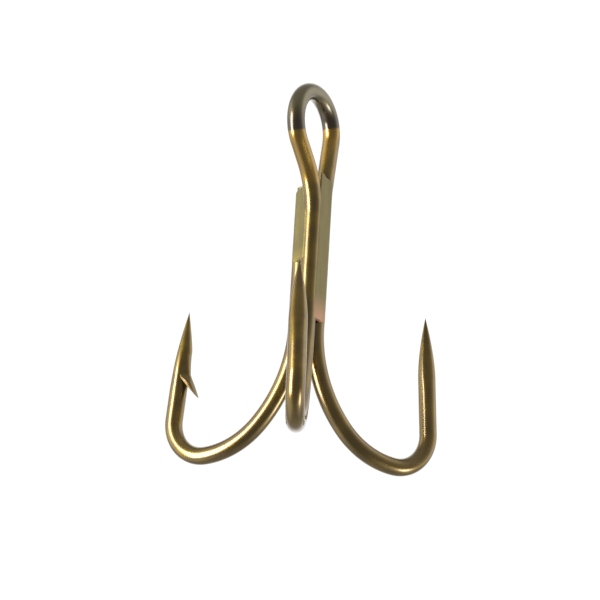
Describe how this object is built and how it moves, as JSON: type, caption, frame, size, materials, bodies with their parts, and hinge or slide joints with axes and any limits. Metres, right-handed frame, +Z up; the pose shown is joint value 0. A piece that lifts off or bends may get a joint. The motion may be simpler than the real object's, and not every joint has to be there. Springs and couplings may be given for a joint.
{
  "type": "treble fishing hook",
  "caption": "Treble fishing hook: bronzed round-wire hooks with barbed points, brazed back to back on one shank under a loop eye.",
  "frame": {"origin": "the point inside the top of the eye loop where a split ring or line bears", "axes": "+Z runs up the shank towards the eye, and the eye loop lies in the XZ plane; the two hooks of the double wire point to -152 and -30 degrees in plan and the single wire's hook points along +Y"},
  "size_m": [0.0302, 0.0251, 0.04],
  "materials": {
    "bronzed_wire": "polished, translucent bronze lacquer over hardened steel wire",
    "braze_metal": "dull, as run, under the same bronze lacquer"
  },
  "bodies": {
    "root": {"double_hook_wire": "bronzed_wire", "single_hook_wire": "bronzed_wire", "braze_double_groove": "braze_metal", "braze_left_groove": "braze_metal", "braze_right_groove": "braze_metal", "braze_core": "braze_metal"}
  },
  "joints": []
}
